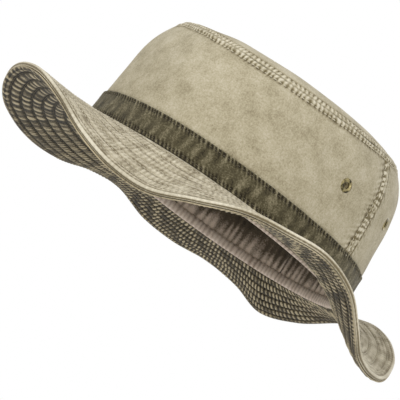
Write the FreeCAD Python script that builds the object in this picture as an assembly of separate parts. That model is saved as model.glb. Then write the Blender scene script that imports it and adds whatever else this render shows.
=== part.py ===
import FreeCAD, Part
import os
from math import atan, cos, exp, floor, hypot, pi, radians, sin

# Washed cotton bucket hat, adult head size 58 cm. All lengths in millimetres.
# The origin is the centre of the head oval on the head seam, where the brim joins the crown.
# +Z points up to the crown tip and -Y to the front of the hat.
# Angles go round the oval from the front (0) over the wearer's left side at +X (90).

Vector = FreeCAD.Vector

# Head oval, on the outside of the crown cloth at the head seam
HALF_LENGTH = 101.0
HALF_WIDTH = 90.0

# Crown: the wall leans in a little, then turns over a shoulder into the tip
TIP_SEAM_HEIGHT = 75.5
WALL_LEAN = 0.06
SHOULDER_INSET = 10.0
SHOULDER_POWER = 6
TIP_RISE = 9.8
TIP_POWER = 9
CROWN_CLOTH = 1.0
SLACK = 0.7
# The tip seam sags: most at the front, and across a line this many degrees from the front
SEAM_DIP = 3.7
SEAM_DIP_ANGLE = -5.0
SEAM_SAG = 2.5
SEAM_SAG_ANGLE = 34.0

# Hat band round the foot of the crown
BAND_HEIGHT = 16.5
BAND_CLOTH = 0.9

# Brim: two faces of cloth over a stiffener, sewn through in rows
BRIM_WIDTH = 52.0
BRIM_CLOTH = 1.2
BRIM_STIFFENER = 1.3
BRIM_EDGE_TURN = 2.0
BRIM_ROOT_BEND = 8.3
FOOT_FLAT = 0.5

# Width of one column of a cloth's mesh, in degrees
COLUMN = 7.5

# Slope of the brim below the level, in degrees, every ten degrees round from the front
BRIM_SLOPES = (
    25.0, 34.0, 34.5, 22.5, 10.0, 4.5, 1.5, 8.0, 23.0, 35.0, 39.0, 38.0,
    33.0, 24.0, 8.0, -4.5, -9.5, -3.0, 13.5, 23.0, 14.5, 11.5, 14.5, 13.0,
    6.0, 9.0, 18.0, 22.5, 23.0, 20.5, 17.0, 11.0, 4.0, 1.0, 3.0, 11.5,
)
# The edge flares up against the root, a little all round and most at one place behind +X
FLARE_ANGLE = 5.0
FLARE_PEAK_ANGLE = 27.0
FLARE_PLACE_ANGLE = 124.0
FLARE_SPREAD_ANGLE = 34.0

# Inside of the crown
SWEATBAND_HEIGHT = 27.0
SWEATBAND_CLOTH = 1.2
BINDING_CLOTH = 0.8
BINDING_REACH = 4.4
TAPE_WIDTH = 10.0
TAPE_CLOTH = 0.5
SIDE_TAPE_HEAD = 0.985

# Eyelets, two on each side
EYELET_COLUMNS = 2.5
EYELET_FLANGE_RADIUS = 4.3
EYELET_BORE_RADIUS = 2.0
EYELET_BARREL_WALL = 0.5
EYELET_CROWNING = 0.9
EYELET_ROLL = 0.9
EYELET_ROLL_DEPTH = 0.35
WASHER_RADIUS = 4.2
WASHER_THICKNESS = 0.5

# Clearances
LAP_GAP = 0.12
BUTT_GAP = 0.25
BARREL_GAP = 0.15

TIP_SEAM_INSET = WALL_LEAN * TIP_SEAM_HEIGHT + SHOULDER_INSET
TIP_HALF_WIDTH = HALF_WIDTH - TIP_SEAM_INSET
BRIM_THICKNESS = 2.0 * BRIM_CLOTH + BRIM_STIFFENER + 2.0 * LAP_GAP
TAPE_DEPTH = CROWN_CLOTH + LAP_GAP
SWEATBAND_DEPTH = TAPE_DEPTH + TAPE_CLOTH + LAP_GAP
SWEATBAND_FOOT = -BRIM_THICKNESS - LAP_GAP
ALLOWANCE = SWEATBAND_DEPTH - WALL_LEAN * BRIM_THICKNESS - 2.0 * LAP_GAP
BARREL_RADIUS = EYELET_BORE_RADIUS + EYELET_BARREL_WALL
BUTT_ANGLE = BUTT_GAP / 2.0 / HALF_LENGTH * 180.0 / pi
TAPE_ANGLE = TAPE_WIDTH / 2.0 / HALF_LENGTH * 180.0 / pi
EYELET_ANGLE = EYELET_COLUMNS * COLUMN


def oval(angle, inset, z):
    """A point on the head oval, drawn in by an inset, at height z."""
    turn = radians(angle)
    return Vector((HALF_WIDTH - inset) * sin(turn), -(HALF_LENGTH - inset) * cos(turn), z)


def profile(place):
    """Inset, height and tilt of the crown at a place: 0 head seam, 1 shoulder, 2 centre of the tip."""
    if place <= 1.0:
        z = place * TIP_SEAM_HEIGHT
        inset = WALL_LEAN * z + SHOULDER_INSET * place ** SHOULDER_POWER
        bend = SHOULDER_POWER * SHOULDER_INSET / TIP_SEAM_HEIGHT
        return inset, z, atan(WALL_LEAN + bend * place ** (SHOULDER_POWER - 1))
    out = 2.0 - place
    z = TIP_SEAM_HEIGHT + TIP_RISE * (1.0 - out ** TIP_POWER)
    fall = TIP_RISE * TIP_POWER / TIP_HALF_WIDTH * out ** (TIP_POWER - 1)
    return TIP_SEAM_INSET + TIP_HALF_WIDTH * (1.0 - out), z, pi / 2.0 - atan(fall)


def crown(angle, place, depth):
    """A point on the crown, a depth inside its outer face (negative outside)."""
    inset, z, tilt = profile(place)
    turn = radians(angle)
    bulge = 0.0
    if 0.0 < place < 1.0:
        bulge = 4.0 * place * (1.0 - place) * (sin(5.0 * turn + 1.0) + 0.6 * sin(9.0 * turn + 2.5 * place))
    if place > 1.0:
        out = 2.0 - place
        hollow = 1.0 + sin(3.0 * turn) * out
        z -= SLACK * 16.0 * out ** 2 * (1.0 - out) ** 2 * hollow
    return oval(angle, inset + depth * cos(tilt) - SLACK * bulge, z - depth * sin(tilt))


def wall(angle, z, depth):
    """The same for a height on the wall, which runs on straight below the head seam."""
    return crown(angle, z / TIP_SEAM_HEIGHT, depth)


def seam_place(angle):
    """Place of the tip seam on the crown's profile round the crown."""
    dip = SEAM_DIP * cos(radians(angle - SEAM_DIP_ANGLE))
    z = TIP_SEAM_HEIGHT - dip - SEAM_SAG * cos(radians(2.0 * (angle - SEAM_SAG_ANGLE)))
    if z <= TIP_SEAM_HEIGHT:
        return z / TIP_SEAM_HEIGHT
    return 2.0 - (1.0 - (z - TIP_SEAM_HEIGHT) / TIP_RISE) ** (1.0 / TIP_POWER)


def place_step(place, length):
    """How far a length along the cloth moves a place on the profile."""
    low = profile(place - 0.005)
    high = profile(place + 0.005)
    return 0.01 * length / hypot(high[0] - low[0], high[1] - low[1])


def panel(angle, row, depth):
    """A point on a crown panel: row 0 at the head seam, 1 beside the tape's edge and 2 at the tip seam."""
    foot = LAP_GAP / TIP_SEAM_HEIGHT
    seam = seam_place(angle)
    edge = seam - place_step(seam, TAPE_WIDTH / 2.0)
    head = seam - place_step(seam, BUTT_GAP / 2.0)
    place = foot + (edge - foot) * row if row < 1.0 else edge + (head - edge) * (row - 1.0)
    return crown(angle, place, depth)


def tip(angle, row, depth):
    """A point on the tip: row 0 at its seam, 1 beside the tape's edge and 2 near its centre."""
    seam = seam_place(angle)
    foot = seam + place_step(seam, BUTT_GAP / 2.0)
    edge = seam + place_step(seam, TAPE_WIDTH / 2.0)
    place = foot + (edge - foot) * row if row < 1.0 else edge + (2.0 - edge) * (row - 1.0)
    return crown(angle, place, depth)


def brim_slope(angle, run):
    """Slope of the brim in radians at a distance out from the crown."""
    place = (angle % 360.0) / 10.0
    first = int(floor(place))
    share = place - first
    before, low, high, after = (BRIM_SLOPES[(first + k) % 36] for k in (-1, 0, 1, 2))
    rising = (high - before) / 2.0
    leaving = (after - low) / 2.0
    mean = (
        low
        + share * rising
        + share ** 2 * (3.0 * (high - low) - 2.0 * rising - leaving)
        + share ** 3 * (2.0 * (low - high) + rising + leaving)
    )
    aside = (angle - FLARE_PLACE_ANGLE + 180.0) % 360.0 - 180.0
    flare = FLARE_ANGLE + FLARE_PEAK_ANGLE * exp(-((aside / FLARE_SPREAD_ANGLE) ** 2))
    slope = mean + flare * (1.0 - 2.0 * run / BRIM_WIDTH)
    if run < BRIM_ROOT_BEND:
        slope = slope * (1.0 - (1.0 - run / BRIM_ROOT_BEND) ** 2)
    return radians(slope)


def brim(angle, run, depth):
    """A point on the brim: a run out from the crown, a depth below the top face.

    A negative run is the flat allowance under the foot of the crown.
    """
    out = min(run, 0.0)
    z = 0.0
    slope = 0.0
    if run > 0.0:
        steps = int(run) + 1
        length = run / steps
        for k in range(steps):
            slope = brim_slope(angle, (k + 0.5) * length)
            out += length * cos(slope)
            z -= length * sin(slope)
        slope = brim_slope(angle, run)
    turn = radians(angle)
    away = Vector(HALF_LENGTH * sin(turn), -HALF_WIDTH * cos(turn), 0.0).normalize()
    return oval(angle, 0.0, z - depth * cos(slope)) + away * (out - depth * sin(slope))


def columns(start, end):
    """Angles from start to end in even columns, with the edges of the side seam tapes among them."""
    angles = [start, end]
    angles += [k * COLUMN for k in range(int(start // COLUMN) + 1, int(end // COLUMN) + 1) if k * COLUMN < end]
    for seam in (-90.0, 90.0, 270.0, 450.0):
        angles += [edge for edge in (seam - TAPE_ANGLE, seam + TAPE_ANGLE) if start < edge < end]
    return sorted(angles)


def spread(low, high, step):
    """Evenly spaced values from low to high, at most a step apart."""
    count = max(2, int(abs(high - low) / step + 0.999))
    return [low + (high - low) * k / count for k in range(count + 1)]


def sheet(grid):
    """Flat triangles through a grid of points, two for each cell."""
    faces = []
    for column, following in zip(grid, grid[1:]):
        for a, b, c, d in zip(column, column[1:], following, following[1:]):
            for corners in ((a, b, c), (b, d, c)):
                if not any(corners[k].isEqual(corners[k - 1], 1e-6) for k in range(3)):
                    faces.append(Part.Face(Part.makePolygon(corners + corners[:1])))
    return faces


def cloth(place, angles, rows, front, back):
    """A piece of cloth: place(angle, row, depth) from a front depth to a back depth."""
    near, far = ([[place(a, r, depth) for r in rows] for a in angles] for depth in (front, back))
    sides = [[near[k], far[k]] for k in (0, -1)]
    sides += [[[a[k], b[k]] for a, b in zip(near, far)] for k in (0, -1)]
    return sewn(sum([sheet(grid) for grid in [near, far] + sides], []))


def sewn(faces):
    """The solid inside a closed set of faces."""
    shell = Part.makeCompound(faces)
    shell.sewShape(0.002)
    solid = Part.Solid(shell.Shells[0])
    if solid.Volume < 0.0:
        solid.reverse()
    return solid


def binding(angle, row, reach):
    """A point on the tape folded round the sweatband's foot, down its inside from row 0 and round to row 5."""
    turn = pi * max(row - 1, 0) / 4.0
    z = SWEATBAND_FOOT - reach * sin(turn) if row else SWEATBAND_FOOT + BINDING_REACH
    return wall(angle, z, SWEATBAND_DEPTH + SWEATBAND_CLOTH / 2.0 + reach * cos(turn))


def tip_tape(angle, row, depth):
    """A point on the tape under the tip seam, a row along the cloth from the seam."""
    seam = seam_place(angle)
    return crown(angle, seam + place_step(seam, row), TAPE_DEPTH + depth)


HALVES = {"front": (-90.0, 90.0), "back": (90.0, 270.0)}
SIDES = {"left": 90.0, "right": 270.0}
EYELETS = {
    "left_front": SIDES["left"] - EYELET_ANGLE,
    "left_back": SIDES["left"] + EYELET_ANGLE,
    "right_back": SIDES["right"] - EYELET_ANGLE,
    "right_front": SIDES["right"] + EYELET_ANGLE,
}
# A strip that goes once round, its ends meeting at the back, and a piece with no ends
RING = columns(180.0 + BUTT_ANGLE, 540.0 - BUTT_ANGLE)
ROUND = columns(180.0, 540.0)
# The rows of the crown panel that the eyelets sit between
EYELET_ROWS = (0.5, 0.76)
nodes = {}


def seat(name):
    """Where an eyelet sits: the middle of a cell of the crown panel and the direction straight out of it."""
    sides = (EYELETS[name] - COLUMN / 2.0, EYELETS[name] + COLUMN / 2.0)
    low, high = ([panel(angle, row, 0.0) for angle in sides] for row in EYELET_ROWS)
    out = (low[1] - high[0]).cross(high[1] - low[0]).normalize()
    return (high[0] + low[1]) / 2.0, out


def straight(corners):
    """Straight edges through (radius, height) corners."""
    points = [Vector(radius, 0, height) for radius, height in corners]
    return [Part.LineSegment(a, b).toShape() for a, b in zip(points, points[1:])]


def turned(edges, name):
    """A solid of revolution inside the edges, set on an eyelet's axis."""
    ring = Part.Face(Part.Wire(edges)).revolve(Vector(0, 0, 0), Vector(0, 0, 1), 360)
    point, out = seat(name)
    ring.Placement = FreeCAD.Placement(point, FreeCAD.Rotation(Vector(0, 0, 1), out))
    return ring


# Crown wall, in a front and a back panel that meet at the side seams
panel_rows = (0.0, 0.25) + EYELET_ROWS + (0.9, 1.0, 2.0)
for half, (start, end) in HALVES.items():
    angles = columns(start + BUTT_ANGLE, end - BUTT_ANGLE)
    half_crown = cloth(panel, angles, panel_rows, 0.0, CROWN_CLOTH)
    for name in EYELETS:
        point, out = seat(name)
        hole = Part.makeCylinder(BARREL_RADIUS + BARREL_GAP, 12.0, point - out * 6.0, out)
        half_crown = half_crown.cut(hole)
    nodes["crown_%s_panel" % half] = half_crown

# Crown tip, the oval piece on top, with rings closer together over the shoulder
tip_rows = (0.0, 1.0, 1.07, 1.15, 1.3, 1.5, 1.75, 2.0)
near, far = ([[tip(angle, row, depth) for row in tip_rows] for angle in ROUND] for depth in (0.0, CROWN_CLOTH))
rim = [[outside[0], inside[0]] for outside, inside in zip(near, far)]
nodes["crown_tip"] = sewn(sheet(near) + sheet(far) + sheet(rim))

# Hat band, one strip whose ends meet at the back
band_rows = (LAP_GAP, BAND_HEIGHT)
nodes["hat_band"] = cloth(wall, RING, band_rows, -LAP_GAP - BAND_CLOTH, -LAP_GAP)

# Brim, in front and back halves like the crown wall
layers = (
    ("upper", 0.0, BRIM_CLOTH, BRIM_WIDTH),
    ("stiffener", BRIM_CLOTH + LAP_GAP, BRIM_CLOTH + LAP_GAP + BRIM_STIFFENER, BRIM_WIDTH - BRIM_EDGE_TURN),
    ("under", BRIM_THICKNESS - BRIM_CLOTH, BRIM_THICKNESS, BRIM_WIDTH),
)
lowest = min(brim(a, run, BRIM_THICKNESS).z for a in range(0, 360, 2) for run in spread(20.0, BRIM_WIDTH, 2.0))
reach = 2.0 * (HALF_LENGTH + BRIM_WIDTH)
above_floor = Part.makeBox(2.0 * reach, 2.0 * reach, reach, Vector(-reach, -reach, lowest + FOOT_FLAT))
for half, (start, end) in HALVES.items():
    angles = columns(start + BUTT_ANGLE, end - BUTT_ANGLE)
    for layer, top, bottom, width in layers:
        runs = [-ALLOWANCE, BRIM_ROOT_BEND / 4.0] + spread(BRIM_ROOT_BEND, BRIM_WIDTH - BRIM_EDGE_TURN, 14.0)
        if width > runs[-1]:
            runs.append(width)
        nodes["brim_%s_%s" % (layer, half)] = cloth(brim, angles, runs, top, bottom).common(above_floor)

# Sweatband inside the foot of the crown, with a binding folded over its lower edge
sweat_rows = (SWEATBAND_FOOT, 0.0, SWEATBAND_HEIGHT / 2.0, SWEATBAND_HEIGHT)
nodes["sweatband"] = cloth(wall, RING, sweat_rows, SWEATBAND_DEPTH, SWEATBAND_DEPTH + SWEATBAND_CLOTH)
fold = SWEATBAND_CLOTH / 2.0 + LAP_GAP
nodes["sweatband_binding"] = cloth(binding, RING, range(6), fold + BINDING_CLOTH, fold)

# Tapes over the raw edges inside the crown
tape_rows = (-TAPE_WIDTH / 2.0, 0.0, TAPE_WIDTH / 2.0)
nodes["tip_seam_tape"] = cloth(tip_tape, RING, tape_rows, 0.0, TAPE_CLOTH)
for side, angle in SIDES.items():
    angles = [angle - TAPE_ANGLE, angle, angle + TAPE_ANGLE]
    side_rows = panel_rows[:-2] + (SIDE_TAPE_HEAD,)
    nodes["side_seam_tape_%s" % side] = cloth(panel, angles, side_rows, TAPE_DEPTH, TAPE_DEPTH + TAPE_CLOTH)

# Eyelets and their washers: the barrel goes through the crown and rolls over the washer
flange_foot = LAP_GAP
washer_top = -CROWN_CLOTH - LAP_GAP
washer_foot = washer_top - WASHER_THICKNESS
roll_top = washer_foot - LAP_GAP / 2.0
roll_foot = roll_top - EYELET_ROLL_DEPTH
lip = 0.25
middle = (EYELET_BORE_RADIUS + EYELET_FLANGE_RADIUS) / 2.0
for name in EYELETS:
    corners = [
        (EYELET_FLANGE_RADIUS, flange_foot + lip),
        (EYELET_FLANGE_RADIUS, flange_foot),
        (BARREL_RADIUS, flange_foot),
        (BARREL_RADIUS, roll_top),
        (BARREL_RADIUS + EYELET_ROLL, roll_top),
        (BARREL_RADIUS + EYELET_ROLL, roll_foot),
        (EYELET_BORE_RADIUS, roll_foot),
        (EYELET_BORE_RADIUS, EYELET_CROWNING / 2.0),
        (middle, EYELET_CROWNING),
    ]
    corners.append(corners[0])
    nodes["eyelet_" + name] = turned(straight(corners), name)
    washer_bore = BARREL_RADIUS + BARREL_GAP
    ring = [(washer_bore, washer_top), (WASHER_RADIUS, washer_top), (WASHER_RADIUS, washer_foot)]
    ring += [(washer_bore, washer_foot), (washer_bore, washer_top)]
    nodes["washer_" + name] = turned(straight(ring), name)

for name, solid in nodes.items():
    if not solid.isValid() or len(solid.Solids) != 1:
        print("Not one valid solid:", name)
    solid.exportStep("parts/%s.step" % name)
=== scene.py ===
from math import atan2, cos, degrees, pi, radians, sin

import bmesh
import bpy
import numpy as np
from mathutils import Matrix, Vector


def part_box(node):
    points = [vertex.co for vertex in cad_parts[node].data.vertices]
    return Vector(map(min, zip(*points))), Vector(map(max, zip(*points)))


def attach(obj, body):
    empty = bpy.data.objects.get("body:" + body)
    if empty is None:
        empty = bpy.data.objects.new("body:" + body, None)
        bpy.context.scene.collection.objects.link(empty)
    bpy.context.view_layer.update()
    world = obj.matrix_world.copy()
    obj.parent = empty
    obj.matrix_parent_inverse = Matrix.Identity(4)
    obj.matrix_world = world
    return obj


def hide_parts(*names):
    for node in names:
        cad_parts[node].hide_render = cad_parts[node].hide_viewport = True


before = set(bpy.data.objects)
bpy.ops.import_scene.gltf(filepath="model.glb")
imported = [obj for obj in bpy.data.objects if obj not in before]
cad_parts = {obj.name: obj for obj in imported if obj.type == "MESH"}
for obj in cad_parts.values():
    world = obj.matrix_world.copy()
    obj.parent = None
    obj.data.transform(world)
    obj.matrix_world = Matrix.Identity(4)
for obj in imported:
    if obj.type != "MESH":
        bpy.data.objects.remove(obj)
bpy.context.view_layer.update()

# Washed cotton bucket hat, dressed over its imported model.
# The shape's own formulas and values are the part's, in millimetres; meshes are made in metres.
# +Z points up to the tip, -Y to the front, angles go round from the front over +X (90).
MM = 0.001

# The camera first: a little below the brim, turned with the hat as the picture is
AZIMUTH = 34.0
ELEVATION = -7.0
ROLL = 35.0
DISTANCE = 1.2
SENSOR_WIDTH = 36.0
FOCAL_LENGTH = 183.6
SHIFT_X = -0.0425
SHIFT_Y = 0.02625

# Surroundings, in metres
FLOOR_RADIUS = 1.9
FLOOR_HEIGHT = -0.20
FLOOR_SIDES = 64
AMBIENT = 0.62

# Values of the part
HALF_LENGTH = 101.0
HALF_WIDTH = 90.0
TIP_SEAM_HEIGHT = 75.5
WALL_LEAN = 0.06
SHOULDER_INSET = 10.0
SHOULDER_POWER = 6
TIP_RISE = 9.8
TIP_POWER = 9
CROWN_CLOTH = 1.0
SLACK = 0.7
SEAM_DIP = 3.7
SEAM_DIP_ANGLE = -5.0
SEAM_SAG = 2.5
SEAM_SAG_ANGLE = 34.0
BAND_HEIGHT = 16.5
BAND_CLOTH = 0.9
BRIM_WIDTH = 52.0
BRIM_CLOTH = 1.2
BRIM_STIFFENER = 1.3
BRIM_EDGE_TURN = 2.0
BRIM_ROOT_BEND = 8.3
# The brim's curve is summed up in this many steps
BRIM_STEPS = 24
# Slope of the brim in degrees, every ten degrees round from the front. Worked out from points
# read off the picture's outline, and rounded to half a degree.
BRIM_SLOPES = (
    25.0, 34.0, 34.5, 22.5, 10.0, 4.5, 1.5, 8.0, 23.0, 35.0, 39.0, 38.0,
    33.0, 24.0, 8.0, -4.5, -9.5, -3.0, 13.5, 23.0, 14.5, 11.5, 14.5, 13.0,
    6.0, 9.0, 18.0, 22.5, 23.0, 20.5, 17.0, 11.0, 4.0, 1.0, 3.0, 11.5,
)
FLARE_ANGLE = 5.0
FLARE_PEAK_ANGLE = 27.0
FLARE_PLACE_ANGLE = 124.0
FLARE_SPREAD_ANGLE = 34.0
SWEATBAND_HEIGHT = 27.0
SWEATBAND_CLOTH = 1.2
BINDING_CLOTH = 0.8
BINDING_REACH = 4.4
TAPE_WIDTH = 10.0
TAPE_CLOTH = 0.5
BARREL_RADIUS = 2.5
# A barrel opens the cloth no further than this from its middle
BARREL_REACH = 12.0
# Width of the calm cloth round an eyelet
CALM_WIDTH = 8.0
# The washed tip has sunk a little, most towards the front
TIP_SLUMP = 2.4
TIP_SLUMP_ANGLE = -10.0
LAP_GAP = 0.12
BUTT_GAP = 0.25

TIP_SEAM_INSET = WALL_LEAN * TIP_SEAM_HEIGHT + SHOULDER_INSET
TIP_HALF_WIDTH = HALF_WIDTH - TIP_SEAM_INSET
BRIM_THICKNESS = 2.0 * BRIM_CLOTH + BRIM_STIFFENER + 2.0 * LAP_GAP
TAPE_DEPTH = CROWN_CLOTH + LAP_GAP
SWEATBAND_DEPTH = TAPE_DEPTH + TAPE_CLOTH + LAP_GAP
SWEATBAND_FOOT = -BRIM_THICKNESS - LAP_GAP
ALLOWANCE = SWEATBAND_DEPTH - WALL_LEAN * BRIM_THICKNESS - 2.0 * LAP_GAP
BUTT_ANGLE = BUTT_GAP / 2.0 / HALF_LENGTH * 180.0 / pi

# Mean radii in plan, for laying the weave and for spacing folds
HEAD_RADIUS = 95.6
BAND_RADIUS = 96.0
SWEATBAND_RADIUS = 93.0
PANEL_RADIUS = 92.0
SIDE_RADIUS = 90.0
CROWN_RADIUS = 88.0
BRIM_RADIUS = 120.0
EDGE_RADIUS = 145.0

# Sewing and wear
STITCH_PITCH = 3.2
TWILL_PITCH = 0.62
FIRST_ROW = 46.5
ROW_PITCH = 6.8
SEWN_RUNS = [FIRST_ROW - ROW_PITCH * k for k in range(7)]
SEAM_ROW = 3.2
EDGE_ROW = 49.7
# How deep the threads sit in the cloth of the crown and the band
THREAD_SINK = 0.15
# The upper cloth rolls round the brim's edge, from this far short of its width
ROLL_START = 1.4
ROLL_OUT = 1.42
ROLL_RADIUS = 1.45
ROLL_LAP = 50.1
# The under cloth turns up beside the roll: runs out and depths of its turned edge
UNDER_EDGE_RUNS = (51.6, 51.75, 51.6, 51.2, 50.5)
UNDER_EDGE_DEPTHS = (3.86, 3.66, 3.46, 3.36, 3.34)
# Where the cloths run on inside the brim, back to its root
INSIDE_START = 49.0
INSIDE_STEP = 4.0
# Where the brim curls up the puckers are broader
CURL_ANGLE = -48.0
CURL_SPREAD_ANGLE = 30.0
# The band's rows of stitches, above its foot and below its top
BAND_ROW_LOW = 1.9
BAND_ROW_DROP = 1.7
# Painted shade of faces that lie inside the hat: negative is darker
INSIDE_PAINTED_SHADE = -1.2


def oval(angle, inset, z):
    turn = np.radians(angle)
    x = (HALF_WIDTH - inset) * np.sin(turn)
    y = -(HALF_LENGTH - inset) * np.cos(turn)
    return np.stack(np.broadcast_arrays(x, y, z), axis=-1)


def profile(place):
    """Inset, height and tilt of the crown at a place: 0 head seam, 1 shoulder, 2 centre of the tip."""
    bend = SHOULDER_POWER * SHOULDER_INSET / TIP_SEAM_HEIGHT
    wall_z = place * TIP_SEAM_HEIGHT
    wall_inset = WALL_LEAN * wall_z + SHOULDER_INSET * place**SHOULDER_POWER
    wall_tilt = np.arctan(WALL_LEAN + bend * place ** (SHOULDER_POWER - 1))
    out = np.clip(2.0 - place, 0.0, 1.0)
    tip_z = TIP_SEAM_HEIGHT + TIP_RISE * (1.0 - out**TIP_POWER)
    tip_inset = TIP_SEAM_INSET + TIP_HALF_WIDTH * (1.0 - out)
    fall = TIP_RISE * TIP_POWER / TIP_HALF_WIDTH * out ** (TIP_POWER - 1)
    low = place <= 1.0
    return (
        np.where(low, wall_inset, tip_inset),
        np.where(low, wall_z, tip_z),
        np.where(low, wall_tilt, pi / 2.0 - np.arctan(fall)),
    )


def crown(angle, place, depth):
    """Points on the crown, a depth inside its outer face (negative outside)."""
    angle, place, depth = np.broadcast_arrays(*(np.asarray(v, float) for v in (angle, place, depth)))
    inset, z, tilt = profile(place)
    turn = np.radians(angle)
    lobes = np.sin(5.0 * turn + 1.0) + 0.6 * np.sin(9.0 * turn + 2.5 * place)
    bulge = np.where((place > 0.0) & (place < 1.0), 4.0 * place * (1.0 - place) * lobes, 0.0)
    out = np.clip(2.0 - place, 0.0, 1.0)
    hollow = 16.0 * out**2 * (1.0 - out) ** 2 * (1.0 + np.sin(3.0 * turn) * out)
    z = z - np.where(place > 1.0, SLACK * hollow, 0.0)
    seam_z = seam_height(angle)
    above = np.clip((z - seam_z) / (TIP_SEAM_HEIGHT + TIP_RISE - seam_z), 0.0, 1.0)
    slump = TIP_SLUMP * (1.0 + out * np.cos(np.radians(angle - TIP_SLUMP_ANGLE)))
    z = z - slump * above**2 * (3.0 - 2.0 * above)
    return oval(angle, inset + depth * np.cos(tilt) - SLACK * bulge, z - depth * np.sin(tilt))


def wall(angle, z, depth):
    return crown(angle, np.asarray(z, float) / TIP_SEAM_HEIGHT, depth)


def seam_height(angle):
    """Height of the tip seam, which dips and sags round the hat."""
    dip = SEAM_DIP * np.cos(np.radians(angle - SEAM_DIP_ANGLE))
    return TIP_SEAM_HEIGHT - dip - SEAM_SAG * np.cos(np.radians(2.0 * (angle - SEAM_SAG_ANGLE)))


def seam_place(angle):
    """Place of the tip seam on the crown's profile."""
    z = seam_height(angle)
    above = np.clip((z - TIP_SEAM_HEIGHT) / TIP_RISE, 0.0, 0.99)
    return np.where(z <= TIP_SEAM_HEIGHT, z / TIP_SEAM_HEIGHT, 2.0 - (1.0 - above) ** (1.0 / TIP_POWER))


def place_step(place, length):
    """How far a length along the cloth moves a place on the profile."""
    low = profile(place - 0.005)
    high = profile(place + 0.005)
    return 0.01 * length / np.hypot(high[0] - low[0], high[1] - low[1])


def brim_slope(angle, run):
    """Slope of the brim in radians at a distance out from the crown."""
    place = (angle % 360.0) / 10.0
    first = np.floor(place).astype(int)
    share = place - first
    before, low, high, after = (np.take(BRIM_SLOPES, (first + k) % 36) for k in (-1, 0, 1, 2))
    rising = (high - before) / 2.0
    leaving = (after - low) / 2.0
    mean = (
        low
        + share * rising
        + share**2 * (3.0 * (high - low) - 2.0 * rising - leaving)
        + share**3 * (2.0 * (low - high) + rising + leaving)
    )
    aside = (angle - FLARE_PLACE_ANGLE + 180.0) % 360.0 - 180.0
    flare = FLARE_ANGLE + FLARE_PEAK_ANGLE * np.exp(-((aside / FLARE_SPREAD_ANGLE) ** 2))
    slope = mean + flare * (1.0 - 2.0 * run / BRIM_WIDTH)
    root = np.clip(1.0 - run / BRIM_ROOT_BEND, 0.0, 1.0)
    return np.radians(slope * (1.0 - root**2))


def brim(angle, run, depth):
    """Points on the brim: a run out from the crown, a depth below the top face."""
    angle, run, depth = np.broadcast_arrays(*(np.asarray(v, float) for v in (angle, run, depth)))
    out = np.minimum(run, 0.0)
    z = np.zeros_like(out)
    step = np.maximum(run, 0.0) / BRIM_STEPS
    for k in range(BRIM_STEPS):
        slope = brim_slope(angle, (k + 0.5) * step)
        out = out + step * np.cos(slope)
        z = z - step * np.sin(slope)
    slope = np.where(run > 0.0, brim_slope(angle, np.maximum(run, 0.0)), 0.0)
    turn = np.radians(angle)
    flat = np.zeros_like(turn)
    away = np.stack([HALF_LENGTH * np.sin(turn), -HALF_WIDTH * np.cos(turn), flat], axis=-1)
    away = away / np.linalg.norm(away, axis=-1, keepdims=True)
    reach = out - depth * np.sin(slope)
    return oval(angle, 0.0, z - depth * np.cos(slope)) + away * reach[..., None]


def wander(seed, along, across, size):
    """A smooth seeded unevenness, about -1 to 1, with waves about a size long."""
    rng = np.random.default_rng(seed)
    total = 0.0
    for _ in range(7):
        rate = 2.0 * pi / size * rng.uniform(0.55, 1.7)
        lean = rng.uniform(0.0, 2.0 * pi)
        start = rng.uniform(0.0, 2.0 * pi)
        total = total + np.cos(rate * (along * cos(lean) + across * sin(lean)) + start)
    return total / 3.2


def puckers(seed, along, across=0.0, pitch=STITCH_PITCH):
    """Uneven small folds across a row of stitches, 0 to 1."""
    drift = 0.3 * pitch * wander(seed, along, across, 5.0 * pitch)
    return 0.5 + 0.5 * np.cos(2.0 * pi * (along + drift) / pitch)


def near(distance, width):
    return np.exp(-((distance / width) ** 2))


# Meshes and pieces


def spread(low, high, step):
    return np.linspace(low, high, max(2, int(abs(high - low) / step + 0.999) + 1))


def make_mesh(name, verts, quads, ends=()):
    """A smooth mesh of quads, and of one face for each end; also its loops."""
    loops = np.concatenate([quads.ravel(), *ends]).astype(np.int32)
    totals = np.array([4] * len(quads) + [len(end) for end in ends])
    starts = np.concatenate([[0], np.cumsum(totals)[:-1]]).astype(np.int32)
    mesh = bpy.data.meshes.new(name)
    mesh.vertices.add(len(verts))
    mesh.vertices.foreach_set("co", verts.ravel())
    mesh.loops.add(len(loops))
    mesh.loops.foreach_set("vertex_index", loops)
    mesh.polygons.add(len(totals))
    mesh.polygons.foreach_set("loop_start", starts)
    mesh.polygons.foreach_set("use_smooth", np.ones(len(totals), bool))
    return mesh, loops


def place_mesh(name, mesh):
    mesh.update(calc_edges=True)
    mesh.validate()
    piece = bpy.data.objects.new(name, mesh)
    bpy.context.scene.collection.objects.link(piece)
    return piece


def build(name, points, uv, wear_and_shade, keep=None):
    """A mesh through a grid of points, closed across the rows, with a face over each end."""
    columns, rows = points.shape[:2]
    index = np.arange(columns * rows).reshape(columns, rows)
    right = np.roll(index, -1, axis=1)
    quads = np.stack([index[:-1], index[1:], right[1:], right[:-1]], axis=-1).reshape(-1, 4)
    if keep is not None:
        centres = points.reshape(-1, 3)[quads].mean(axis=1)
        quads = quads[keep(centres)]
    verts = points.reshape(-1, 3) * MM
    a, b, c, d = (verts[quads[:, k]] for k in range(4))
    if (a * np.cross(b, c)).sum() + (a * np.cross(c, d)).sum() < 0.0:
        quads = quads[:, ::-1]
    mesh, loops = make_mesh(name, verts, quads, [index[0], index[-1]])
    layer = mesh.uv_layers.new(name="cloth")
    layer.data.foreach_set("uv", (uv.reshape(-1, 2) * MM)[loops].astype(np.float32).ravel())
    mark = mesh.attributes.new("wear_and_shade", "FLOAT", "POINT")
    mark.data.foreach_set("value", np.broadcast_to(wear_and_shade, (columns, rows)).astype(np.float32).ravel())
    return place_mesh(name, mesh)


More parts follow.
